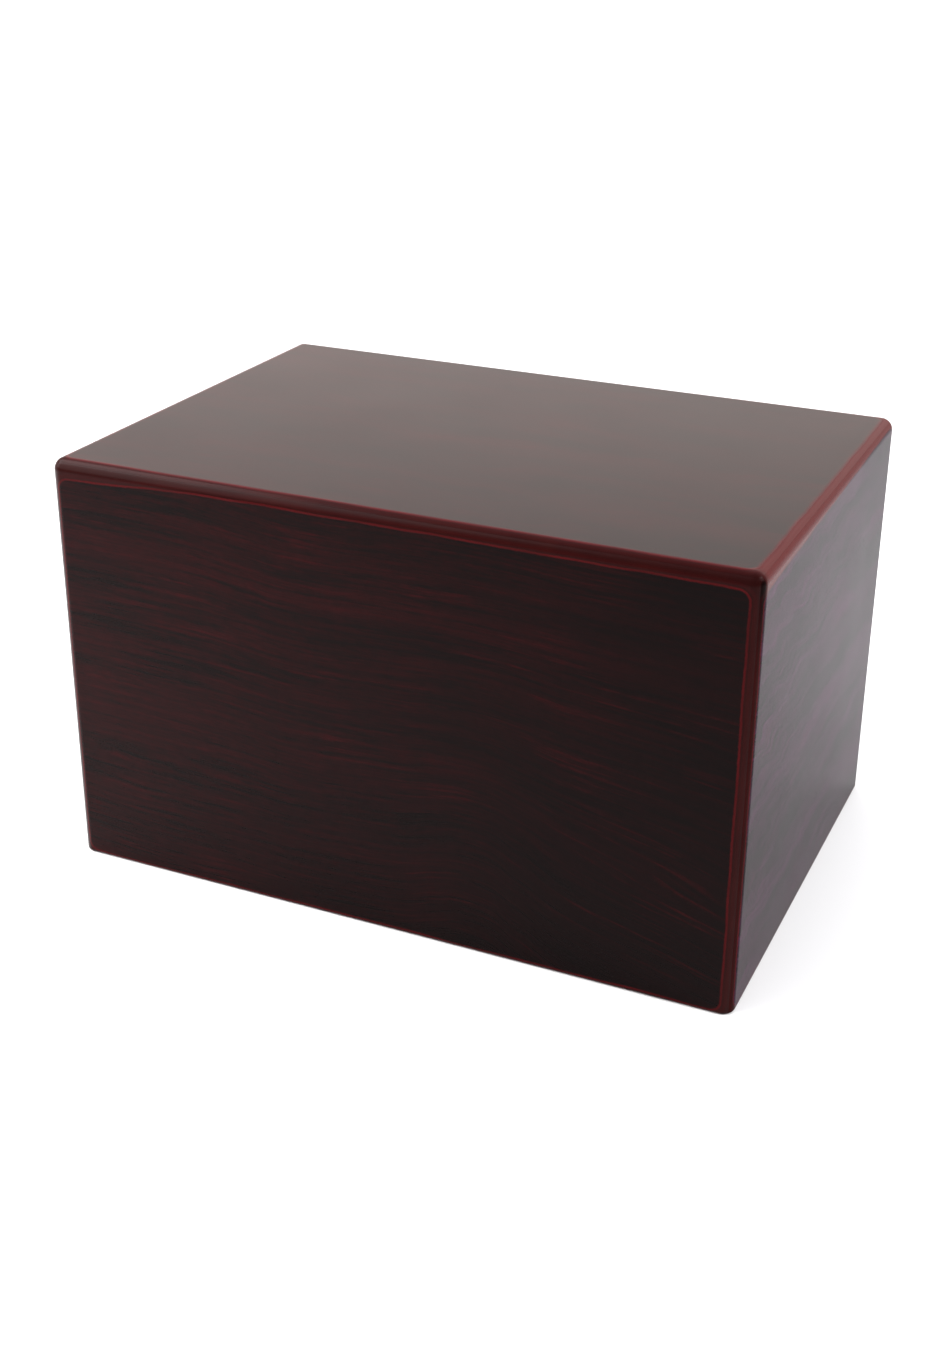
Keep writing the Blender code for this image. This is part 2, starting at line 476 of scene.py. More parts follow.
def screw_places():
    """The end, the side and the place of each base screw, as packed. A place is the middle of its face."""
    for side in ("front", "back"):
        for end in ("left", "right"):
            low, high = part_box(f"base_screw_{side}_{end}")
            middle = (low + high) / 2
            yield side, end, Vector((middle.x, middle.y, low.z))


# Materials


class Nodes:
    """Adds nodes to one tree. What an input takes is a number, a colour, or another node's output."""

    def __init__(self, tree):
        self.tree = tree

    def give(self, socket, value):
        """Sets or links an input."""
        if isinstance(value, bpy.types.NodeSocket):
            self.tree.links.new(value, socket)
        elif value is not None:
            socket.default_value = value

    def add(self, kind, *values, **settings):
        """A node of a kind, with its settings and its first inputs."""
        node = self.tree.nodes.new(kind)
        for setting, value in settings.items():
            setattr(node, setting, value)
        for socket, value in zip(node.inputs, values):
            self.give(socket, value)
        return node

    def calculate(self, operation, *values, clamp=False):
        """The result of a calculation with plain numbers."""
        return self.add("ShaderNodeMath", *values, operation=operation, use_clamp=clamp).outputs[0]

    def plus(self, first, second):
        """The sum of two numbers."""
        return self.calculate("ADD", first, second)

    def minus(self, first, second):
        """The first number less the second."""
        return self.calculate("SUBTRACT", first, second)

    def times(self, *values):
        """The product of some numbers."""
        product = values[0]
        for value in values[1:]:
            product = self.calculate("MULTIPLY", product, value)
        return product

    def swing(self, level, noise, amount, clamp=False):
        """A level that a noise of 0 to 1 moves up and down by an amount."""
        return self.calculate("MULTIPLY_ADD", self.minus(noise, 0.5), amount, level, clamp=clamp)

    def dot(self, vector, direction):
        """How far a vector reaches along a direction."""
        node = self.add("ShaderNodeVectorMath", vector, tuple(direction), operation="DOT_PRODUCT")
        return node.outputs[1]

    def step(self, value, start, end, low=0.0, high=1.0):
        """A smooth step from low, at start, to high, at end."""
        limits = (start, end, low, high)
        node = self.add("ShaderNodeMapRange", value, *limits, interpolation_type="SMOOTHSTEP")
        return node.outputs[0]

    def line(self, value, start, end, low, high):
        """A straight run from low, at start, to high, at end."""
        return self.add("ShaderNodeMapRange", value, start, end, low, high).outputs[0]

    def combine(self, x, y, z=0.0):
        """A vector of three numbers."""
        return self.add("ShaderNodeCombineXYZ", x, y, z).outputs[0]

    def noise(self, vector, kind):
        """A noise from 0 to 1. Its kind is a scale, a detail and a roughness."""
        node = self.add("ShaderNodeTexNoise", vector)
        for name, value in zip(("Scale", "Detail", "Roughness"), kind):
            node.inputs[name].default_value = value
        return node.outputs[0]

    def drawn_out(self, along, across, depth, kind):
        """A noise drawn out along the grain. Its kind starts with its pace along it."""
        return self.noise(self.combine(self.times(along, kind[0]), across, depth), kind[1:])

    def mix(self, share, first, second):
        """A mix of two colours."""
        node = self.add("ShaderNodeMix", data_type="RGBA")
        self.give(node.inputs[0], share)
        self.give(node.inputs[6], first)
        self.give(node.inputs[7], second)
        return node.outputs[2]

    def ramp(self, value, stops):
        """A ramp through (position, level) stops, from 0 to 1."""
        node = self.add("ShaderNodeValToRGB", value)
        elements = node.color_ramp.elements
        while len(elements) < len(stops):
            elements.new(0.5)
        for element, (position, level) in zip(elements, stops):
            element.position = position
        for element, (position, level) in zip(elements, stops):
            element.color = colour4((level, level, level))
        return node.outputs[0]

    def curve(self, value, points):
        """A smooth curve through (position, height) points."""
        positions = [position for position, height in points]
        heights = [height for position, height in points]
        low, high = min(heights), max(heights)
        share = self.line(value, positions[0], positions[-1], 0, 1)
        node = self.add("ShaderNodeFloatCurve", 1.0, share)
        mapping = node.mapping
        track = mapping.curves[0].points
        while len(track) < len(points):
            track.new(0.5, 0.5)
        for point, (position, height) in zip(track, points):
            point.location = (
                (position - positions[0]) / (positions[-1] - positions[0]),
                (height - low) / (high - low),
            )
        mapping.update()
        return self.line(node.outputs[0], 0, 1, low, high)


# Even noises: the scale, the detail and the roughness
LONG_WAVES = (45.0, 1.0, 0.5)
SHORT_WAVES = (900.0, 2.0, 0.5)
UNEVENNESS = (700.0, 2.0, 0.5)
MOTTLING = (60.0, 3.0, 0.6)
LINE_PATCHES = (120.0, 2.0, 0.5)
LACQUER_WAVES = (30.0, 2.0, 0.5)
RAW_SPECKLE = (1400.0, 4.0, 0.7)
BASE_SPECKLE = (1300.0, 4.0, 0.7)
BRASS_CLOUD = (700.0, 3.0, 0.6)
BRASS_GRAIN = (5000.0, 2.0, 0.5)
PAPER_CLOUD = (3.0, 2.0, 0.5)

# Noises drawn out along the grain: the pace along it, and then the same
FRONT_WAVES = (0.5, 60.0, 2.0, 0.5)
PLAIN_WAVES = (0.18, 14.0, 1.0, 0.5)
PLAIN_BANDS = (0.06, 75.0, 3.0, 0.6)
FIBRES = (0.035, 700.0, 4.0, 0.65)
PLAINNESS = (0.4, 34.0, 2.0, 0.5)
PATCHES = (0.3, 55.0, 2.0, 0.5)
FLECKS = (0.2, 1000.0, 3.0, 0.6)
PORES = (0.09, 2600.0, 1.0, 0.5)
HAIRS = (0.03, 820.0, 2.0, 0.5)
ROLLER_MARKS = (0.12, 90.0, 3.0, 0.5)

# Where something starts and is full, in levels of its noise
BAND_LEVELS = (0.38, 0.72)
PORE_LEVELS = (0.60, 0.72)
HAIR_LEVELS = (0.52, 0.72)
MOTTLING_LEVELS = (0.25, 0.75)
LINE_LEVELS = (0.3, 0.7)
LACQUER_LEVELS = (0.3, 0.7)
RAW_LEVELS = (0.35, 0.65)
BASE_LEVELS = (0.35, 0.68)
DULL_LEVELS = (0.35, 0.65)

# What changes with a noise: two levels of the noise, and what it is at each
FIBRE_SWING = (0.3, 0.7, 1.2, 3.4)
HAIRS_IN_PATCHES = (0.35, 0.65, 0.0, 0.34)
HAIRS_IN_FLECKS = (0.35, 0.6, 0.3, 1.0)
ROLLER_SHARE = (0.35, 0.7, 0.0, 0.35)
BASE_ROUGHNESS = (0.0, 1.0, 0.55, 0.72)
BRASS_ROUGHNESS = (0.3, 0.7, 0.24, 0.42)

# Reliefs: the strength, and the distance that a height of 1 stands for
VENEER_RELIEF = (0.2, 0.00004)
BASE_RELIEF = (0.5, 0.00008)
BRASS_RELIEF = (0.25, 0.00003)

# How bright the dark places of a colour are
RAW_DARK = 0.72
BASE_DARK = 0.62
PAPER_DARK = 0.985


def colour4(colour):
    """A colour with full opacity."""
    return (*colour, 1)


def shaded(colour, share):
    """A colour made darker or lighter by a share, with full opacity."""
    return colour4([part * share for part in colour])


def new_material(name):
    """An empty material, its nodes and its shader."""
    material = bpy.data.materials.new(name)
    material.use_nodes = True
    nodes = Nodes(material.node_tree)
    return material, nodes, material.node_tree.nodes["Principled BSDF"]


class Side:
    """One outer side of the box, seen from outside: where it faces, its directions and its finish."""

    def __init__(self, facing, along, across, insets, top_line):
        self.facing = facing
        self.along = along
        self.across = across
        self.insets = insets  # the veneer's left, right, lower and upper distance from the edge
        self.top_line = top_line  # how much lower the upper line runs, from the left end to the right
        self.line_width = 0.00065  # of the bright line round the veneer
        self.line_level = 1.0  # how plainly that line shows
        self.deeper_stain = 0.3  # how much darker the veneer is painted at the lower right: partly a deeper stain, partly painted shade
        self.streaks = "red_grain"  # the colour of the streaks
        self.gloss = 1.0  # how full the lacquer is on the veneer
        self.band_gloss = 1.0  # the same on the round-over

    def with_finish(self, **levels):
        """The same side with some levels of its finish changed."""
        for name, level in levels.items():
            setattr(self, name, level)
        return self


LEVEL_LINE = ((-1.0, 0.0003), (-0.3, -0.0002), (0.4, 0.0002), (1.0, 0.0004))
FRONT_LINE = ((-1.0, 0.0024), (-0.8, 0.0013), (-0.4, -0.0003), (0.2, 0.0001), (0.6, 0.0004), (1.0, 0.0008))
RIGHT_LINE = ((-1.0, 0.0026), (0.0, 0.0004), (1.0, -0.0010))
SIDES = {
    "top": Side(UP, RIGHT, BACK, (0.0031, 0.0031, 0.0033, 0.0032), LEVEL_LINE).with_finish(
        line_width=0.0017, band_gloss=0.7
    ),
    # The front is painted much darker towards its lower right: partly a deeper stain, partly painted shade
    "front": Side(FRONT, RIGHT, UP, (0.0029, 0.0035, 0.0011, 0.0040), FRONT_LINE).with_finish(
        line_width=0.0009, line_level=0.95, deeper_stain=0.85
    ),
    "back": Side(BACK, LEFT, UP, (0.0034, 0.0031, 0.0012, 0.0040), LEVEL_LINE),
    "left": Side(LEFT, FRONT, UP, (0.0032, 0.0029, 0.0012, 0.0038), LEVEL_LINE),
    # The right board's violet streaks are partly a painted sheen
    "right": Side(RIGHT, BACK, UP, (0.0025, 0.0031, 0.0012, 0.0034), RIGHT_LINE).with_finish(
        deeper_stain=0.1, streaks="violet_grain", gloss=0.42, band_gloss=0.46
    ),
}


class Spot:
    """Where a shaded point of one board lies, in the scene and on the board's side of the box."""

    def __init__(self, nodes, side):
        self.place = nodes.add("ShaderNodeTexCoord").outputs["Object"]
        self.from_centre = nodes.add(
            "ShaderNodeVectorMath", self.place, tuple(CENTRE), operation="SUBTRACT"
        ).outputs[0]
        self.along = nodes.dot(self.from_centre, side.along)
        self.across = nodes.dot(self.from_centre, side.across)
        self.depth = self.inward(nodes, side.facing)

    def inward(self, nodes, facing):
        """How far in from one side of the box the point lies."""
        return nodes.minus(abs(facing.dot(HALF_SIZE)), nodes.dot(self.from_centre, facing))


# Radius of the veneer's corners
VENEER_CORNER = 0.0034
# How far the veneer's edge wanders, in long waves and in short ones
LONG_WANDER = 0.0006
SHORT_WANDER = 0.00018


def veneer_distance(nodes, side, spot):
    """How far a point lies outside the veneer's edge, which is a rounded and slightly wavy rectangle."""
    half_along = abs(side.along.dot(HALF_SIZE))
    half_across = abs(side.across.dot(HALF_SIZE))
    left, right, lower, upper = side.insets
    sag = nodes.curve(nodes.calculate("DIVIDE", spot.along, half_along), side.top_line)
    near_top = nodes.step(spot.across, 0.0, half_across)
    across = nodes.calculate("MULTIPLY_ADD", sag, near_top, spot.across)

    # How far beyond the middles of the rounded corners
    u = nodes.calculate("ABSOLUTE", nodes.minus(spot.along, (left - right) / 2))
    v = nodes.calculate("ABSOLUTE", nodes.minus(across, (lower - upper) / 2))
    u = nodes.minus(u, half_along - (left + right) / 2 - VENEER_CORNER)
    v = nodes.minus(v, half_across - (lower + upper) / 2 - VENEER_CORNER)
    beyond = nodes.combine(nodes.calculate("MAXIMUM", u, 0.0), nodes.calculate("MAXIMUM", v, 0.0))
    outside = nodes.add("ShaderNodeVectorMath", beyond, operation="LENGTH").outputs[1]
    inside = nodes.calculate("MINIMUM", nodes.calculate("MAXIMUM", u, v), 0.0)
    distance = nodes.minus(nodes.plus(outside, inside), VENEER_CORNER)

    long_waves = nodes.line(nodes.noise(spot.place, LONG_WAVES), 0, 1, -LONG_WANDER, LONG_WANDER)
    short_waves = nodes.line(nodes.noise(spot.place, SHORT_WAVES), 0, 1, -SHORT_WANDER, SHORT_WANDER)
    return nodes.plus(distance, nodes.plus(long_waves, short_waves))


# How red the front's streaks are, from the lower edge up: (height, redness)
FRONT_STREAKS = (
    (0.0000, 0.40), (0.0270, 0.42), (0.0315, 0.62), (0.0365, 0.36), (0.0415, 0.32), (0.0455, 0.04),
    (0.0485, 0.34), (0.0508, 0.60), (0.0533, 0.44), (0.0565, 0.72), (0.0585, 0.52), (0.0605, 0.66),
    (0.0650, 0.56), (0.0690, 0.30), (0.0720, 0.16), (0.0750, 0.42), (0.0772, 0.30), (0.0800, 0.62),
    (0.0845, 0.06), (0.0880, 0.36), (0.0935, 0.56), (0.0975, 0.20), (0.1045, 0.22), (0.1085, 1.00),
    (0.1104, 0.58), (0.1123, 0.76), (0.1155, 0.28), (0.1202, 0.02), (0.1225, 0.70), (0.1245, 0.20),
    (0.1300, 0.05),
)

# How far the front's streaks rise and fall along the board: (place from the middle, rise)
FRONT_SWAY = (
    (-0.100, 0.0042), (-0.070, 0.0034), (-0.045, 0.0011), (-0.022, -0.0007), (0.006, -0.0001),
    (0.033, -0.0002), (0.066, -0.0020), (0.111, -0.0040),
)
# The same for the arch low on the board, which joins the sway by the share below
FRONT_ARCH = (
    (-0.114, -0.0100), (-0.070, -0.0110), (-0.048, -0.0090), (-0.016, -0.0065), (0.003, -0.0055),
    (0.019, -0.0015), (0.028, 0.0000), (0.044, -0.0050), (0.061, -0.0130), (0.094, -0.0210),
    (0.114, -0.0260),
)
# How much of the arch shows at a height
FRONT_ARCH_SHARE = (
    (0.000, 0.95), (0.030, 0.88), (0.045, 0.62), (0.060, 0.38), (0.088, 0.17), (0.110, 0.0),
)

# How far the grain wanders to either side, on the front and on the other boards
FRONT_WANDER = 0.0005
PLAIN_WANDER = 0.006
# The way along which the other boards' wander changes, so that each has its own
OWN_WANDER = (3.0, 5.0, 7.0)


def front_figure(nodes, spot):
    """The front's grain line and the redness of its streaks."""
    height = nodes.plus(spot.across, HALF_SIZE.z)
    arch = nodes.times(nodes.curve(spot.along, FRONT_ARCH), nodes.curve(height, FRONT_ARCH_SHARE))
    sway = nodes.plus(nodes.curve(spot.along, FRONT_SWAY), arch)
    waves = nodes.drawn_out(spot.along, spot.across, 0.0, FRONT_WAVES)
    wander = nodes.line(waves, 0, 1, -FRONT_WANDER, FRONT_WANDER)
    grain = nodes.plus(nodes.minus(height, sway), wander)
    stops = [(streak / SIZE.z, redness) for streak, redness in FRONT_STREAKS]
    return grain, nodes.ramp(nodes.calculate("DIVIDE", grain, SIZE.z), stops)


def plain_figure(nodes, spot):
    """A calmer grain: long bands that wander a little, each board with its own."""
    waves = nodes.drawn_out(spot.along, spot.across, nodes.dot(spot.place, OWN_WANDER), PLAIN_WAVES)
    grain = nodes.plus(spot.across, nodes.line(waves, 0, 1, -PLAIN_WANDER, PLAIN_WANDER))
    bands = nodes.drawn_out(spot.along, grain, 0.0, PLAIN_BANDS)
    return grain, nodes.step(bands, *BAND_LEVELS)


# The redness between the streaks and in them
REDNESS = (0.16, 0.62)
# How much the patches and the flecks change it
PATCH_SWING = 0.5
FLECK_SWING = 0.9
# How much darker the pores are
PORE_SHARE = 0.55
# The way to the lower right, along and across, and where the darkening towards it starts and is full on it:
# partly a deeper stain, partly painted shade
STAIN_AND_SHADE_WAY = (0.8, -0.6)
STAIN_AND_SHADE_SPREAD = (-0.10, 0.12)
# How much the unevenness and the fibres raise the relief, and the pores lower it
UNEVEN_RISE = 0.25
FIBRE_RISE = 0.35
PORE_FALL = 0.3


def stained_veneer(nodes, side, spot, figure, finish):
    """The colour of the veneer, with painted shade towards the lower right, and the relief of its fibres
    and pores.
    """
    grain, streak_redness = figure(nodes, spot)
    fibres, patches, flecks, pores, hairs = [
        nodes.drawn_out(spot.along, grain, spot.depth, kind)
        for kind in (FIBRES, PATCHES, FLECKS, PORES, HAIRS)
    ]
    pores = nodes.step(pores, *PORE_LEVELS)
    hairs = nodes.step(hairs, *HAIR_LEVELS)

    # The streaks, whose fibres show more plainly in some places than in others
    plainness = nodes.drawn_out(spot.along, spot.across, 0.0, PLAINNESS)
    redness = nodes.line(streak_redness, 0, 1, *REDNESS)
    redness = nodes.swing(redness, fibres, nodes.line(plainness, *FIBRE_SWING))
    redness = nodes.swing(redness, patches, PATCH_SWING)
    redness = nodes.swing(redness, flecks, FLECK_SWING, clamp=True)
    # On the right board the streaks' colour is a painted violet sheen as well as grain
    veneer = nodes.mix(redness, colour4(finish.dark_grain), colour4(getattr(finish, side.streaks)))

    # The dark of the pores, and the darkening towards the lower right: partly a deeper stain, partly
    # painted shade
    way = side.along * STAIN_AND_SHADE_WAY[0] + side.across * STAIN_AND_SHADE_WAY[1]
    deeper = nodes.step(nodes.dot(spot.from_centre, way), *STAIN_AND_SHADE_SPREAD, 0.0, side.deeper_stain)
    dark = nodes.calculate("MAXIMUM", nodes.times(pores, PORE_SHARE), deeper)
    veneer = nodes.mix(dark, veneer, colour4(finish.pore_and_painted_dark))

    # The thin bright lines, which come and go with the patches and flecks
    in_patches = nodes.line(patches, *HAIRS_IN_PATCHES)
    in_flecks = nodes.line(flecks, *HAIRS_IN_FLECKS)
    veneer = nodes.mix(nodes.times(hairs, in_patches, in_flecks), veneer, colour4(finish.hair_grain))

    unevenness = nodes.times(nodes.noise(spot.place, UNEVENNESS), UNEVEN_RISE)
    relief = nodes.plus(unevenness, nodes.times(fibres, FIBRE_RISE))
    return veneer, nodes.minus(relief, nodes.times(pores, PORE_FALL))


# Painted light on the round-over: a painted sheen on the upper right round-over, and a painted dark
# reflection on the front right upright edge below the top. For some sides of the box, how far in from it a
# patch starts and is full
PAINTED_SHEEN_STRETCH = ((RIGHT, 0.009, 0.002), (UP, 0.012, 0.005), (FRONT, 0.001, 0.007))
# Painted dark reflection on the front right upright edge, just below the top
DARK_REFLECTION_PATCH = (
    (RIGHT, 0.0016, 0.0009), (FRONT, 0.0034, 0.0024), (UP, 0.024, 0.006), (UP, 0.0012, 0.0028),
)
DARK_REFLECTION_SHARE = 0.9

# A faint glow of the veneer line on the round-over: where it starts and is full, and fades and ends
GLOW_RISE = (0.0006, 0.0012)
GLOW_FALL = (0.0024, 0.0014)
GLOW_SHARE = 0.12


def painted_patch(nodes, spot, limits):
    """How plainly a patch of painted light on the round-over shows."""
    steps = [nodes.step(spot.inward(nodes, facing), start, full) for facing, start, full in limits]
    return nodes.times(*steps)


def stained_band(nodes, spot, distance, finish):
    """The colour of the round-over, with its painted sheen, its painted dark reflection and the glow next
    to the veneer.
    """
    mottling = nodes.step(nodes.noise(spot.place, MOTTLING), *MOTTLING_LEVELS)
    band = nodes.mix(mottling, colour4(finish.band), colour4(finish.band_dark))
    # Painted sheen: a lighter red along the upper right round-over, which faces the light
    band = nodes.mix(painted_patch(nodes, spot, PAINTED_SHEEN_STRETCH), band, colour4(finish.band_painted_sheen))
    # Painted reflection: a dark strip on the front right upright edge, below the top, where it mirrors
    # something dark
    dark_reflection = nodes.times(painted_patch(nodes, spot, DARK_REFLECTION_PATCH), DARK_REFLECTION_SHARE)
    band = nodes.mix(dark_reflection, band, colour4(finish.pore_and_painted_dark))
    glow = nodes.times(nodes.step(distance, *GLOW_RISE), nodes.step(distance, *GLOW_FALL), GLOW_SHARE)
    return nodes.mix(glow, band, colour4(finish.veneer_line))


def raw_fibreboard(nodes, speckle, finish):
    """The colour of raw fibreboard with a fine speckle."""
    return nodes.mix(speckle, shaded(finish.fibreboard, RAW_DARK), colour4(finish.fibreboard))


def add_relief(nodes, shader, height, strength, distance):
    """Gives a surface a fine relief."""
    bump = nodes.add("ShaderNodeBump")
    bump.inputs["Strength"].default_value = strength
    bump.inputs["Distance"].default_value = distance
    nodes.give(bump.inputs["Height"], height)
    nodes.give(shader.inputs["Normal"], bump.outputs[0])


# Where the band of the round-over starts and is full, outwards from the veneer's edge
BAND_EDGE = (-0.0001, 0.0002)
# Where the veneer line starts and is full, in widths of the line from that edge
LINE_EDGE = (0.6, 0.1)
# How plainly the line shows at its weakest
LINE_WEAKEST = 0.6
# How much smoother and rougher the lacquer gets in its waves
SMOOTHER = 0.01
ROUGHER = 0.015
# How deep the stain and lacquer go at a board's edges, and how softly they end
STAIN_DEPTH = 0.0019
STAIN_FADE = 0.0004
# Up to what height the walls' ends are stained, and how softly that stain ends
FOOT_STAIN = 0.0003
FOOT_FADE = 0.0004


def board_material(name, side, figure, finish):
    """The finish of one board: stained veneer with painted shade towards the lower right, its edge line,
    the stained band with its painted sheen and painted dark reflection, and raw board inside.
    """
    material, nodes, shader = new_material(name)
    spot = Spot(nodes, side)
    veneer, relief = stained_veneer(nodes, side, spot, figure, finish)
    distance = veneer_distance(nodes, side, spot)
    on_band = nodes.step(distance, *BAND_EDGE)
    surface = nodes.mix(on_band, veneer, stained_band(nodes, spot, distance, finish))
    line_start, line_full = [side.line_width * share for share in LINE_EDGE]
    line = nodes.step(nodes.calculate("ABSOLUTE", distance), line_start, line_full)
    weakest = side.line_level * LINE_WEAKEST
    patchy = nodes.line(nodes.noise(spot.place, LINE_PATCHES), *LINE_LEVELS, weakest, side.line_level)
    surface = nodes.mix(nodes.times(line, patchy), surface, colour4(finish.veneer_line))

    deep = nodes.step(spot.depth, STAIN_DEPTH, STAIN_DEPTH + STAIN_FADE)
    if side.facing != UP:
        height = nodes.dot(spot.place, UP)
        deep = nodes.times(deep, nodes.step(height, FOOT_STAIN, FOOT_STAIN + FOOT_FADE))
    speckle = nodes.step(nodes.noise(spot.place, RAW_SPECKLE), *RAW_LEVELS)
    surface = nodes.mix(deep, surface, raw_fibreboard(nodes, speckle, finish))
    nodes.give(shader.inputs["Base Color"], surface)
    add_relief(nodes, shader, relief, *VENEER_RELIEF)

    even = finish.lacquer_roughness
    waves = nodes.noise(spot.place, LACQUER_WAVES)
    lacquer = nodes.line(waves, *LACQUER_LEVELS, even - SMOOTHER, even + ROUGHER)
    roughness = nodes.add("ShaderNodeMix", deep, None, lacquer, finish.raw_roughness)
    nodes.give(shader.inputs["Roughness"], roughness.outputs[0])
    veneer_index = 1 + (finish.lacquer_index - 1) * side.gloss
    band_index = 1 + (finish.lacquer_index - 1) * side.band_gloss
    if side.gloss == side.band_gloss:
        shader.inputs["IOR"].default_value = veneer_index
    else:
        nodes.give(shader.inputs["IOR"], nodes.line(on_band, 0, 1, veneer_index, band_index))
    shader.inputs["Specular Tint"].default_value = colour4(finish.lacquer_tint)
    return material


# How high the base panel's stain runs up its edges, and how softly it ends
BASE_STAIN_HEIGHT = 0.0042
BASE_STAIN_FADE = 0.001
# How bright its stain is in the speckles
BASE_BRIGHT = 1.35


def base_material(finish):
    """Stained fibreboard under a thin matt lacquer, with a fine speckle and roller marks."""
    material, nodes, shader = new_material("base_board_finish")
    place = nodes.add("ShaderNodeTexCoord").outputs["Object"]
    speckle = nodes.step(nodes.noise(place, BASE_SPECKLE), *BASE_LEVELS)
    dark = shaded(finish.base_stain, BASE_DARK)
    stained = nodes.mix(speckle, dark, shaded(finish.base_stain, BASE_BRIGHT))
    roller = nodes.drawn_out(nodes.dot(place, RIGHT), nodes.dot(place, BACK), 0.0, ROLLER_MARKS)
    stained = nodes.mix(nodes.step(roller, *ROLLER_SHARE), stained, dark)
    above = nodes.step(nodes.dot(place, UP), BASE_STAIN_HEIGHT, BASE_STAIN_HEIGHT + BASE_STAIN_FADE)
    surface = nodes.mix(above, stained, raw_fibreboard(nodes, speckle, finish))
    nodes.give(shader.inputs["Base Color"], surface)
    nodes.give(shader.inputs["Roughness"], nodes.step(speckle, *BASE_ROUGHNESS))
    add_relief(nodes, shader, speckle, *BASE_RELIEF)
    return material


def screw_material(finish):
    """Brass with a fine grain and duller patches."""
    material, nodes, shader = new_material("screw_brass")
    place = nodes.add("ShaderNodeTexCoord").outputs["Object"]
    cloud = nodes.noise(place, BRASS_CLOUD)
    dullness = nodes.step(cloud, *DULL_LEVELS)
    surface = nodes.mix(dullness, colour4(finish.bright_brass), colour4(finish.dull_brass))
    nodes.give(shader.inputs["Base Color"], surface)
    nodes.give(shader.inputs["Roughness"], nodes.step(cloud, *BRASS_ROUGHNESS))
    shader.inputs["Metallic"].default_value = 1.0
    add_relief(nodes, shader, nodes.noise(place, BRASS_GRAIN), *BRASS_RELIEF)
    return material


# How matt the paper is, and how much it shines
PAPER_ROUGHNESS = 0.9
PAPER_SHINE = 0.1


def floor_material(stage):
    """Plain pale paper with the faintest unevenness."""
    material, nodes, shader = new_material("pale_paper")
    place = nodes.add("ShaderNodeTexCoord").outputs["Object"]
    cloud = nodes.noise(place, PAPER_CLOUD)
    surface = nodes.mix(cloud, shaded(stage.floor_colour, PAPER_DARK), colour4(stage.floor_colour))
    nodes.give(shader.inputs["Base Color"], surface)
    shader.inputs["Roughness"].default_value = PAPER_ROUGHNESS
    shader.inputs["Specular IOR Level"].default_value = PAPER_SHINE
    return material


# Stage

# How far the floor lies below the box's foot, so that they don't share a plane
FLOOR_DROP = 0.00002

# The way to the bright side of the room
BRIGHT_WAY = Vector((-0.6, 0.65, 0.3)).normalized()
# Where a light of the room starts and is full, as the cosine of the angle from its way
BRIGHT_SPREAD = (-0.4, 0.7)
OVERHEAD_SPREAD = (0.45, 0.95)
HIGH_SPREAD = (0.3, 0.8)

# The soft lights: the name, the place, what it is aimed at and the width
SOFTBOXES = (
    ("right_softbox", (1.0, 0.1, 0.75), (0.2, 0.05, 0.0), 0.5),
    ("front_softbox", (-0.5, -0.38, 0.5), CENTRE, 0.6),
    ("left_softbox", (-0.38, -0.124, 0.494), (-0.11, -0.079, 0.1385), 0.28),
)


def add_floor(stage):
    """A round, level floor below the box."""
    bm = bmesh.new()
    bmesh.ops.create_circle(bm, cap_ends=True, radius=stage.floor_radius, segments=96)
    bmesh.ops.translate(bm, vec=(0, 0, CAD_BOX[0].z - FLOOR_DROP), verts=bm.verts)
    floor = add_object("floor", to_mesh(bm, "floor"))
    floor.data.materials.append(floor_material(stage))


def add_room(stage):
    """The light of the room: soft and white, bright behind and above the box, dim behind the camera."""
    world = bpy.data.worlds.new("studio_room")
    world.use_nodes = True
    nodes = Nodes(world.node_tree)
    background = world.node_tree.nodes["Background"]
    direction = nodes.add("ShaderNodeTexCoord").outputs["Generated"]
    behind = nodes.dot(direction, BRIGHT_WAY)
    rise = nodes.dot(direction, UP)
    level = nodes.step(behind, *BRIGHT_SPREAD, stage.dim_side, stage.bright_side)
    level = nodes.plus(level, nodes.step(rise, *OVERHEAD_SPREAD, 0.0, stage.overhead))
    nodes.give(background.inputs["Strength"], level)
    high = nodes.step(rise, *HIGH_SPREAD)
    tone = nodes.mix(high, colour4(stage.low_light), colour4(stage.high_light))
    nodes.give(background.inputs["Color"], tone)
    bpy.context.scene.world = world


def add_softbox(name, place, aim, width, power):
    """A square soft light at a place, aimed at a point."""
    data = bpy.data.lights.new(name, "AREA")
    data.shape = "SQUARE"
    data.size = width
    data.energy = power
    lamp = bpy.data.objects.new(name, data)
    bpy.context.scene.collection.objects.link(lamp)
    lamp.location = place
    lamp.rotation_euler = (Vector(aim) - Vector(place)).to_track_quat("-Z", "Y").to_euler()


def add_camera(stage):
    """The camera, where the photograph was taken from."""
    data = bpy.data.cameras.new("camera")
    data.lens = stage.camera_lens
    data.shift_x, data.shift_y = stage.camera_shift
    data.clip_start = 0.01
    camera = bpy.data.objects.new("camera", data)
    bpy.context.scene.collection.objects.link(camera)
    camera.location = stage.camera_place
    camera.rotation_euler = Euler(stage.camera_turn)
    bpy.context.scene.camera = camera


# Operators


def add_board(name, settings, figure, cutters=()):
    """One board of the box, in place of its packed panel."""
    side = SIDES[name]
    sides = (FRONT, BACK, LEFT, RIGHT)
    if name == "top":
        neighbours = sides
    else:
        neighbours = (*(other for other in sides if other.dot(side.facing) == 0), UP)
    mesh = board_mesh(name + "_board", side.facing, neighbours, settings.urn_board_sizes)
    if cutters:
        mesh = carve(name + "_board", mesh, cutters)
    material = board_material(name + "_veneer", side, figure, settings.urn_finish)
    add_piece(name + "_board", mesh, material, name + "_panel")


class AddTopBoard(bpy.types.Operator):
    """Add the top board"""

    bl_idname = "urn_box.add_top_board"
    bl_label = "Top board"

    def execute(self, context):
        add_board("top", context.scene, plain_figure)
        return {"FINISHED"}


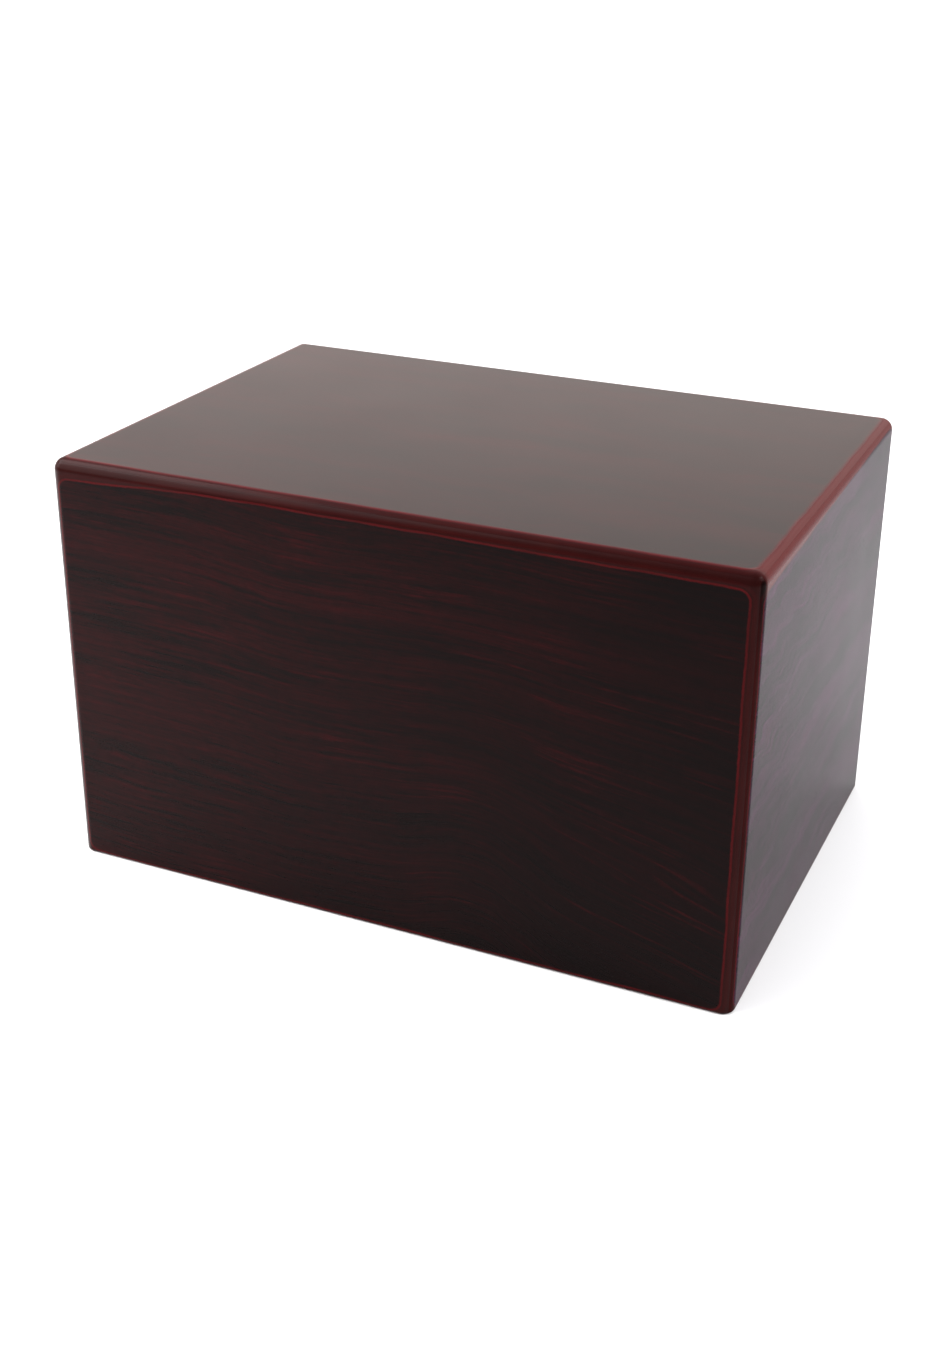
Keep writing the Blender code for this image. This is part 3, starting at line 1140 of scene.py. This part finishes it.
class AddLongWalls(bpy.types.Operator):
    """Add the front and back boards, with the rebate and the screw holes in their lower edges"""

    bl_idname = "urn_box.add_long_walls"
    bl_label = "Front and back boards"

    def execute(self, context):
        scene = context.scene
        for name, figure in (("front", front_figure), ("back", plain_figure)):
            holes = [
                screw_hole(f"{side}_{end}_hole", place, scene.urn_screw_sizes)
                for side, end, place in screw_places()
                if side == name
            ]
            rebate = rebate_mesh(scene.urn_board_sizes, scene.urn_screw_sizes.clearance)
            add_board(name, scene, figure, (rebate, *holes))
        return {"FINISHED"}


class AddEndWalls(bpy.types.Operator):
    """Add the left and right boards, with the rebate in their lower edges"""

    bl_idname = "urn_box.add_end_walls"
    bl_label = "Left and right boards"

    def execute(self, context):
        scene = context.scene
        for name in ("left", "right"):
            rebate = rebate_mesh(scene.urn_board_sizes, scene.urn_screw_sizes.clearance)
            add_board(name, scene, plain_figure, (rebate,))
        return {"FINISHED"}


class AddBasePanel(bpy.types.Operator):
    """Add the base panel, with its screw holes"""

    bl_idname = "urn_box.add_base_panel"
    bl_label = "Base panel"

    def execute(self, context):
        scene = context.scene
        bm = block(BASE_SIZE, BASE_PLACE.z)
        lower = [edge for edge in bm.edges if at_height(edge, BASE_PLACE.z)]
        sizes = scene.urn_board_sizes
        round_edges(bm, lower, sizes.base_arris, sizes.base_arris_steps)
        holes = [
            screw_hole(f"{side}_{end}_hole", place, scene.urn_screw_sizes)
            for side, end, place in screw_places()
        ]
        mesh = carve("base_board", to_mesh(bm, "base_board"), holes)
        add_piece("base_board", mesh, base_material(scene.urn_finish), "base_panel")
        return {"FINISHED"}


class AddBaseScrews(bpy.types.Operator):
    """Add the four countersunk screws that hold the base panel"""

    bl_idname = "urn_box.add_base_screws"
    bl_label = "Base screws"

    def execute(self, context):
        scene = context.scene
        sizes = scene.urn_screw_sizes
        brass = screw_material(scene.urn_finish)
        for side, end, place in screw_places():
            name = f"{side}_{end}_screw"
            mesh = carve(name, screw_mesh(name, sizes), [drive_mesh(name, sizes)])
            mesh.transform(translation(place))
            add_piece(name, mesh, brass, f"base_screw_{side}_{end}")
        return {"FINISHED"}


class AddStage(bpy.types.Operator):
    """Add the floor, the light and the camera"""

    bl_idname = "urn_box.add_stage"
    bl_label = "Stage"

    def execute(self, context):
        stage = context.scene.urn_stage
        add_floor(stage)
        add_room(stage)
        for name, place, aim, width in SOFTBOXES:
            add_softbox(name, place, aim, width, getattr(stage, name))
        add_camera(stage)
        context.scene.view_settings.view_transform = "Standard"
        return {"FINISHED"}


class UrnBoxPanel(bpy.types.Panel):
    """Lists the pieces and the sizes of the urn box"""

    bl_idname = "VIEW3D_PT_urn_box"
    bl_label = "Urn box"
    bl_space_type = "VIEW_3D"
    bl_region_type = "UI"
    bl_category = "Urn box"

    def draw(self, context):
        for step in STEPS:
            self.layout.operator(step.bl_idname)
        for name, kind in SETTINGS.items():
            box = self.layout.box()
            settings = getattr(context.scene, name)
            for field in kind.__annotations__:
                box.prop(settings, field)


SETTINGS = {
    "urn_board_sizes": UrnBoardSizes,
    "urn_screw_sizes": UrnScrewSizes,
    "urn_finish": UrnFinish,
    "urn_stage": UrnStage,
}
STEPS = (AddTopBoard, AddLongWalls, AddEndWalls, AddBasePanel, AddBaseScrews, AddStage)


def register():
    """Registers the classes, and the settings of a scene."""
    for kind in (*SETTINGS.values(), *STEPS, UrnBoxPanel):
        bpy.utils.register_class(kind)
    for name, kind in SETTINGS.items():
        setattr(bpy.types.Scene, name, PointerProperty(type=kind))


def unregister():
    """Takes them away again."""
    for name in SETTINGS:
        delattr(bpy.types.Scene, name)
    for kind in reversed((*SETTINGS.values(), *STEPS, UrnBoxPanel)):
        bpy.utils.unregister_class(kind)


def main():
    """Makes the whole scene."""
    register()
    bpy.ops.urn_box.add_top_board()
    bpy.ops.urn_box.add_long_walls()
    bpy.ops.urn_box.add_end_walls()
    bpy.ops.urn_box.add_base_panel()
    bpy.ops.urn_box.add_base_screws()
    bpy.ops.urn_box.add_stage()


if __name__ == "__main__":
    main()
